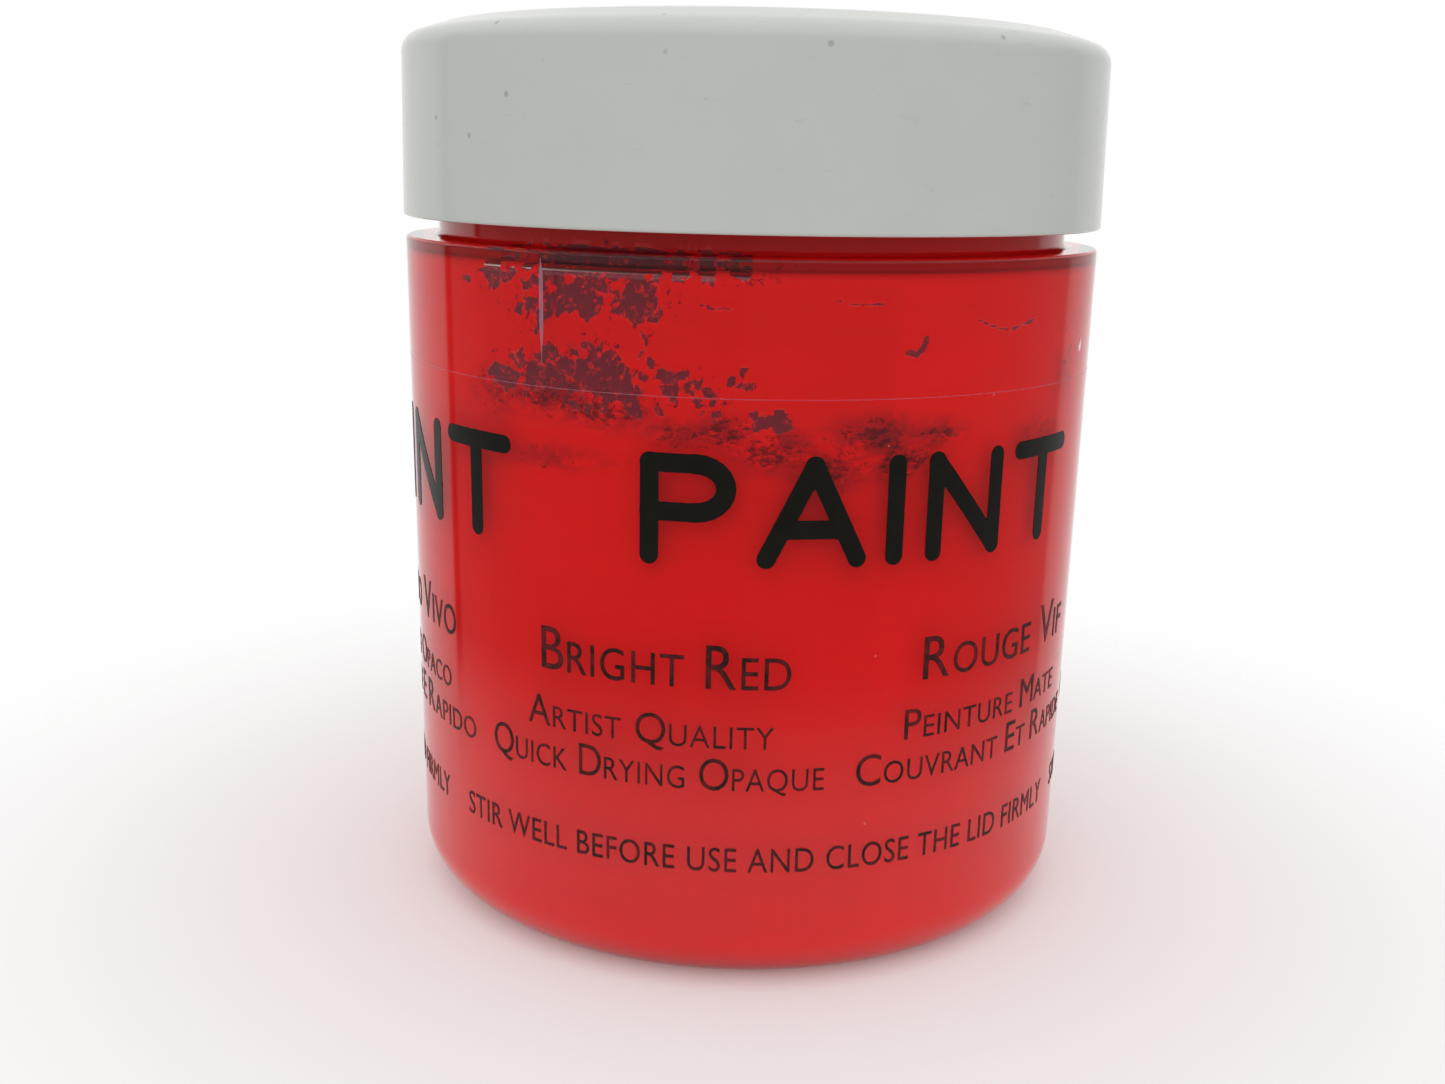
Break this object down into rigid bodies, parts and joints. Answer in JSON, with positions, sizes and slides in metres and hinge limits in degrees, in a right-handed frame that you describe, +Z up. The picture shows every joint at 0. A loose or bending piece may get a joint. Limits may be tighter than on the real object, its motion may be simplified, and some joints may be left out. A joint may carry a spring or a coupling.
{
  "type": "paint jar",
  "caption": "Clear round plastic paint jar with a white screw cap, a sealing liner, a fill of red paint and a dried film on the wall above it.",
  "frame": {"origin": "centre of the base, on the surface the jar stands on", "axes": "+Z up along the jar's axis, towards the cap; -Y is the side with the first letters of the printed word"},
  "size_m": [0.0562, 0.0562, 0.0695],
  "materials": {
    "clear_plastic": "clear, polished",
    "white_plastic": "satin, lightly scuffed",
    "liner_foam": "soft foam",
    "red_paint": "wet acrylic paint",
    "dried_paint": "dried acrylic film",
    "black_ink": "screen-printed ink"
  },
  "bodies": {
    "jar": {"jar_body": "clear_plastic", "paint": "red_paint", "dried_paint_film": "dried_paint"},
    "liner": {"cap_liner": "liner_foam"},
    "cap": {"screw_cap": "white_plastic"}
  },
  "joints": [
    {"name": "cap_lift", "type": "slide", "parent": "jar", "child": "liner", "axis": [0, 0, 1], "range_m": [0, 0.0168]},
    {"name": "cap_turn", "type": "hinge", "parent": "liner", "child": "cap", "pos_m": [0, 0, 0.0622], "axis": [0, 0, 1], "range_deg": [0, 1440]}
  ],
  "couplings": [
    {"joint": "cap_lift", "follows": "cap_turn", "m_per_rad": 0.00066845}
  ]
}
